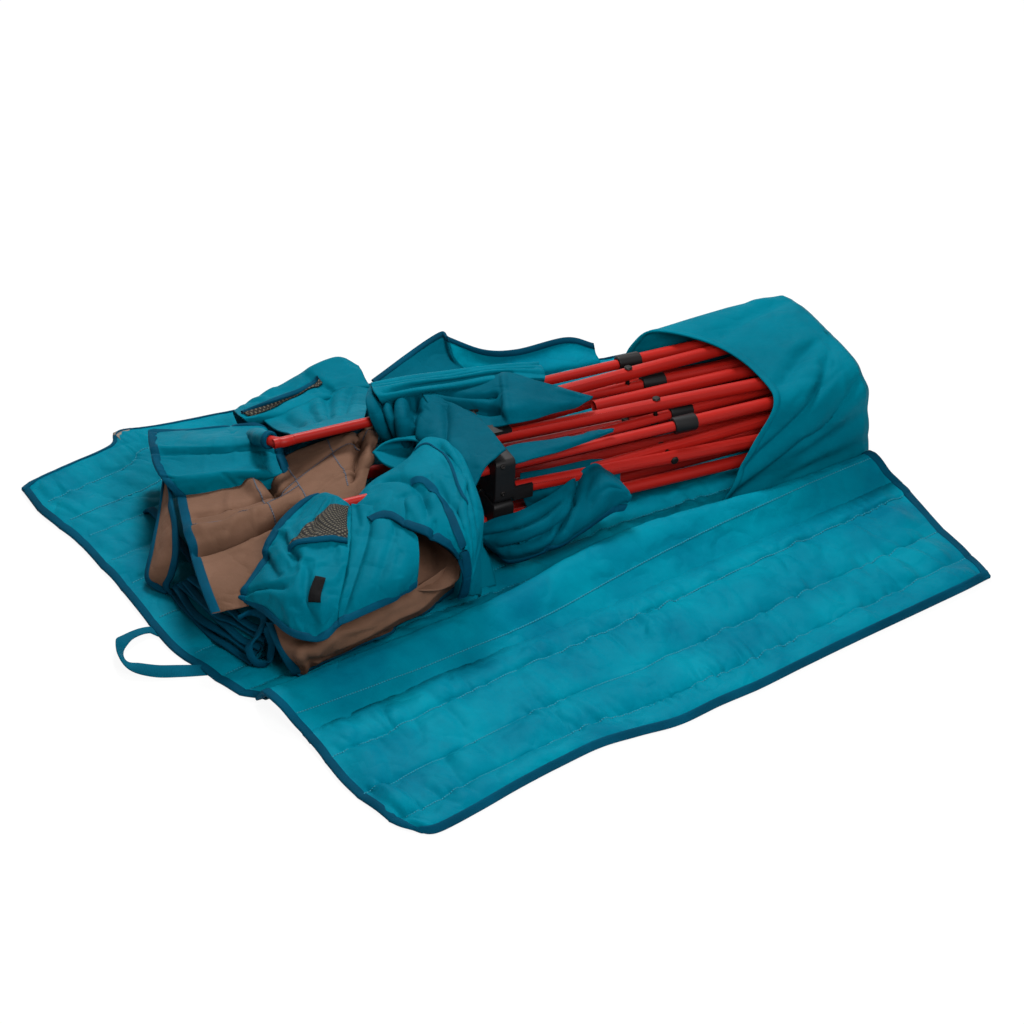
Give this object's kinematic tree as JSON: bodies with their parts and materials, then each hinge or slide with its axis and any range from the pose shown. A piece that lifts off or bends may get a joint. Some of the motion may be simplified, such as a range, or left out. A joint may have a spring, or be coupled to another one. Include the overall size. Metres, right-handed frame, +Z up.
{
  "type": "folding camping loveseat",
  "caption": "Low two-seat camping chair with a scissor tube frame, folded on its opened quilted carry wrap with a foot pocket, armrest sleeves and a padded back.",
  "frame": {"origin": "middle of the underside of the whole bundle as pictured, on the ground", "axes": "+X from the head end to the foot pocket, +Y from the quilted near flap to the far edge, +Z up"},
  "size_m": [1.1436, 0.971, 0.1921],
  "materials": {
    "red_paint": "gloss red paint",
    "black_plastic": "moulded",
    "dark_steel": "blackened rivet",
    "hook_steel": "plated",
    "wrap_cloth": "quilted polyester",
    "chair_cloth": "woven polyester",
    "webbing": "woven webbing",
    "brown_cloth": "quilted lining"
  },
  "bodies": {
    "wrap": {"wrap_panel": "wrap_cloth", "wrap_ridge": "wrap_cloth", "foot_hood": "wrap_cloth", "carry_handle": "webbing", "wrap_hook_head": "hook_steel", "wrap_hook_middle": "hook_steel", "wrap_hook_foot": "hook_steel"},
    "near_flap": {"near_flap": "wrap_cloth"},
    "chair_base": {"near_back_post": "red_paint", "near_back_foot": "black_plastic", "back_pad": "brown_cloth", "lower_pad": "brown_cloth", "near_skirt": "chair_cloth", "under_fold": "chair_cloth"},
    "back_near_rising": {"back_near_rising_bar": "red_paint", "back_near_rivet": "dark_steel"},
    "back_near_falling": {"back_near_falling_bar": "red_paint"},
    "middle_back": {"middle_back_post": "red_paint", "middle_back_foot": "black_plastic"},
    "near_back_hub": {"near_back_hub": "black_plastic"},
    "middle_back_hub": {"middle_back_hub": "black_plastic"},
    "back_far_rising": {"back_far_rising_bar": "red_paint", "back_far_rivet": "dark_steel"},
    "back_far_falling": {"back_far_falling_bar": "red_paint"},
    "far_back": {"far_back_post": "red_paint", "far_back_foot": "black_plastic", "corner_sleeve": "chair_cloth"},
    "far_back_hub": {"far_back_hub": "black_plastic"},
    "near_side_rising": {"near_side_rising_bar": "red_paint", "near_side_rivet": "dark_steel"},
    "near_side_falling": {"near_side_falling_bar": "red_paint"},
    "near_front": {"near_front_post": "red_paint", "near_front_foot": "black_plastic", "near_post_collar": "black_plastic"},
    "near_front_hub": {"near_front_hub": "black_plastic", "near_arm_tube": "red_paint", "near_armrest": "chair_cloth"},
    "far_side_rising": {"far_side_rising_bar": "red_paint", "far_side_rivet": "dark_steel"},
    "far_side_falling": {"far_side_falling_bar": "red_paint"},
    "far_front": {"far_front_post": "red_paint", "far_front_foot": "black_plastic", "far_post_collar": "black_plastic"},
    "far_front_hub": {"far_front_hub": "black_plastic", "far_arm_tube": "red_paint", "far_armrest": "chair_cloth"},
    "front_near_plain": {"front_near_plain_bar": "red_paint", "front_near_rivet": "dark_steel"},
    "front_near_collared": {"front_near_collared_bar": "red_paint", "near_bar_collar": "black_plastic"},
    "middle_front": {"middle_front_post": "red_paint", "middle_front_foot": "black_plastic"},
    "middle_front_hub": {"middle_front_hub": "black_plastic"},
    "front_far_collared": {"front_far_collared_bar": "red_paint", "far_bar_collar": "black_plastic", "front_far_rivet": "dark_steel"},
    "front_far_plain": {"front_far_plain_bar": "red_paint"},
    "seat_cloth": {"seat_fold": "chair_cloth"},
    "skirt_cloth": {"rolled_skirt": "chair_cloth"}
  },
  "joints": [
    {"name": "flap_lift", "type": "hinge", "parent": "wrap", "child": "near_flap", "pos_m": [0.03897, -0.2395, 0.006], "axis": [-1, 0, 0], "range_deg": [0, 80]},
    {"name": "slide_out", "type": "slide", "parent": "wrap", "child": "chair_base", "axis": [-0.9839, 0.1735, 0.0436], "range_m": [0, 0.3]},
    {"name": "seat_cloth_rise", "type": "slide", "parent": "chair_base", "child": "seat_cloth", "axis": [0.043, -0.0076, 0.999], "range_m": [0, 0.37204]},
    {"name": "skirt_spread", "type": "slide", "parent": "chair_base", "child": "skirt_cloth", "axis": [0.1736, 0.9848, 0], "range_m": [0, 0.74408]},
    {"name": "frame_fold", "type": "hinge", "parent": "chair_base", "child": "back_near_rising", "pos_m": [0.48185, -0.10297, 0.03354], "axis": [-0.043, 0.0076, -0.999], "range_deg": [0, 57.23], "deforming": ["foot_hood", "near_armrest", "far_armrest", "seat_fold", "rolled_skirt", "corner_sleeve", "back_pad", "lower_pad", "near_skirt", "under_fold"]},
    {"name": "back_near_rivet_turn", "type": "hinge", "parent": "back_near_rising", "child": "back_near_falling", "pos_m": [0.2602, -0.05272, 0.04345], "axis": [0.043, -0.0076, 0.999], "range_deg": [0, 114.46]},
    {"name": "middle_back_foot_turn", "type": "hinge", "parent": "back_near_falling", "child": "middle_back", "pos_m": [0.48568, -0.08131, 0.03354], "axis": [0.043, -0.0076, 0.999], "range_deg": [-57.23, 0]},
    {"name": "near_back_hub_turn", "type": "hinge", "parent": "back_near_falling", "child": "near_back_hub", "pos_m": [0.03472, -0.02413, 0.05336], "axis": [0.043, -0.0076, 0.999], "range_deg": [-57.23, 0]},
    {"name": "middle_back_hub_turn", "type": "hinge", "parent": "back_near_rising", "child": "middle_back_hub", "pos_m": [0.03854, -0.00246, 0.05336], "axis": [0.043, -0.0076, 0.999], "range_deg": [0, 57.23]},
    {"name": "back_far_foot_turn", "type": "hinge", "parent": "middle_back", "child": "back_far_rising", "pos_m": [0.49644, -0.02025, 0.03354], "axis": [0.043, -0.0076, 0.999], "range_deg": [-57.23, 0]},
    {"name": "back_far_rivet_turn", "type": "hinge", "parent": "back_far_rising", "child": "back_far_falling", "pos_m": [0.27478, 0.03001, 0.04345], "axis": [0.043, -0.0076, 0.999], "range_deg": [0, 114.46]},
    {"name": "far_back_foot_turn", "type": "hinge", "parent": "back_far_falling", "child": "far_back", "pos_m": [0.50026, 0.00142, 0.03354], "axis": [0.043, -0.0076, 0.999], "range_deg": [-57.23, 0]},
    {"name": "far_back_hub_turn", "type": "hinge", "parent": "back_far_rising", "child": "far_back_hub", "pos_m": [0.05312, 0.08026, 0.05336], "axis": [0.043, -0.0076, 0.999], "range_deg": [0, 57.23]},
    {"name": "near_side_foot_turn", "type": "hinge", "parent": "chair_base", "child": "near_side_rising", "pos_m": [0.4778, -0.13373, 0.06451], "axis": [0.1736, 0.9848, 0], "range_deg": [0, 57.23]},
    {"name": "near_side_rivet_turn", "type": "hinge", "parent": "near_side_rising", "child": "near_side_falling", "pos_m": [0.25471, -0.0944, 0.08541], "axis": [0.1736, 0.9848, 0], "range_deg": [-114.46, 0]},
    {"name": "near_front_foot_turn", "type": "hinge", "parent": "near_side_falling", "child": "near_front", "pos_m": [0.47875, -0.1339, 0.08649], "axis": [0.1736, 0.9848, 0], "range_deg": [0, 57.23]},
    {"name": "near_front_hub_turn", "type": "hinge", "parent": "near_side_rising", "child": "near_front_hub", "pos_m": [0.03161, -0.05506, 0.10631], "axis": [0.1736, 0.9848, 0], "range_deg": [-57.23, 0]},
    {"name": "far_side_foot_turn", "type": "hinge", "parent": "far_back", "child": "far_side_rising", "pos_m": [0.50698, 0.03171, 0.06451], "axis": [0.1736, 0.9848, 0], "range_deg": [0, 57.23]},
    {"name": "far_side_rivet_turn", "type": "hinge", "parent": "far_side_rising", "child": "far_side_falling", "pos_m": [0.28388, 0.07105, 0.08541], "axis": [0.1736, 0.9848, 0], "range_deg": [-114.46, 0]},
    {"name": "far_front_foot_turn", "type": "hinge", "parent": "far_side_falling", "child": "far_front", "pos_m": [0.50792, 0.03155, 0.08649], "axis": [0.1736, 0.9848, 0], "range_deg": [0, 57.23]},
    {"name": "far_front_hub_turn", "type": "hinge", "parent": "far_side_rising", "child": "far_front_hub", "pos_m": [0.06078, 0.11039, 0.10631], "axis": [0.1736, 0.9848, 0], "range_deg": [-57.23, 0]},
    {"name": "front_near_foot_turn", "type": "hinge", "parent": "near_front", "child": "front_near_plain", "pos_m": [0.48546, -0.10361, 0.11746], "axis": [0.043, -0.0076, 0.999], "range_deg": [-57.23, 0]},
    {"name": "front_near_rivet_turn", "type": "hinge", "parent": "front_near_plain", "child": "front_near_collared", "pos_m": [0.2638, -0.05335, 0.12737], "axis": [0.043, -0.0076, 0.999], "range_deg": [0, 114.46]},
    {"name": "middle_front_foot_turn", "type": "hinge", "parent": "front_near_collared", "child": "middle_front", "pos_m": [0.48928, -0.08194, 0.11746], "axis": [0.043, -0.0076, 0.999], "range_deg": [-57.23, 0]},
    {"name": "middle_front_hub_turn", "type": "hinge", "parent": "front_near_plain", "child": "middle_front_hub", "pos_m": [0.04215, -0.0031, 0.13728], "axis": [0.043, -0.0076, 0.999], "range_deg": [0, 57.23]},
    {"name": "front_far_foot_turn", "type": "hinge", "parent": "middle_front", "child": "front_far_collared", "pos_m": [0.50005, -0.02088, 0.11746], "axis": [0.043, -0.0076, 0.999], "range_deg": [-57.23, 0]},
    {"name": "front_far_rivet_turn", "type": "hinge", "parent": "front_far_collared", "child": "front_far_plain", "pos_m": [0.27839, 0.02937, 0.12737], "axis": [0.043, -0.0076, 0.999], "range_deg": [0, 114.46]}
  ],
  "couplings": [
    {"joint": "back_near_rivet_turn", "follows": "frame_fold", "ratio": 2},
    {"joint": "middle_back_foot_turn", "follows": "frame_fold", "ratio": -1},
    {"joint": "near_back_hub_turn", "follows": "frame_fold", "ratio": -1},
    {"joint": "middle_back_hub_turn", "follows": "frame_fold", "ratio": 1},
    {"joint": "back_far_foot_turn", "follows": "frame_fold", "ratio": -1},
    {"joint": "back_far_rivet_turn", "follows": "frame_fold", "ratio": 2},
    {"joint": "far_back_foot_turn", "follows": "frame_fold", "ratio": -1},
    {"joint": "far_back_hub_turn", "follows": "frame_fold", "ratio": 1},
    {"joint": "near_side_foot_turn", "follows": "frame_fold", "ratio": 1},
    {"joint": "near_side_rivet_turn", "follows": "frame_fold", "ratio": -2},
    {"joint": "near_front_foot_turn", "follows": "frame_fold", "ratio": 1},
    {"joint": "near_front_hub_turn", "follows": "frame_fold", "ratio": -1},
    {"joint": "far_side_foot_turn", "follows": "frame_fold", "ratio": 1},
    {"joint": "far_side_rivet_turn", "follows": "frame_fold", "ratio": -2},
    {"joint": "far_front_foot_turn", "follows": "frame_fold", "ratio": 1},
    {"joint": "far_front_hub_turn", "follows": "frame_fold", "ratio": -1},
    {"joint": "front_near_foot_turn", "follows": "frame_fold", "ratio": -1},
    {"joint": "front_near_rivet_turn", "follows": "frame_fold", "ratio": 2},
    {"joint": "middle_front_foot_turn", "follows": "frame_fold", "ratio": -1},
    {"joint": "middle_front_hub_turn", "follows": "frame_fold", "ratio": 1},
    {"joint": "front_far_foot_turn", "follows": "frame_fold", "ratio": -1},
    {"joint": "front_far_rivet_turn", "follows": "frame_fold", "ratio": 2},
    {"joint": "seat_cloth_rise", "follows": "frame_fold", "m_per_rad": 0.37244},
    {"joint": "skirt_spread", "follows": "frame_fold", "m_per_rad": 0.74488}
  ]
}
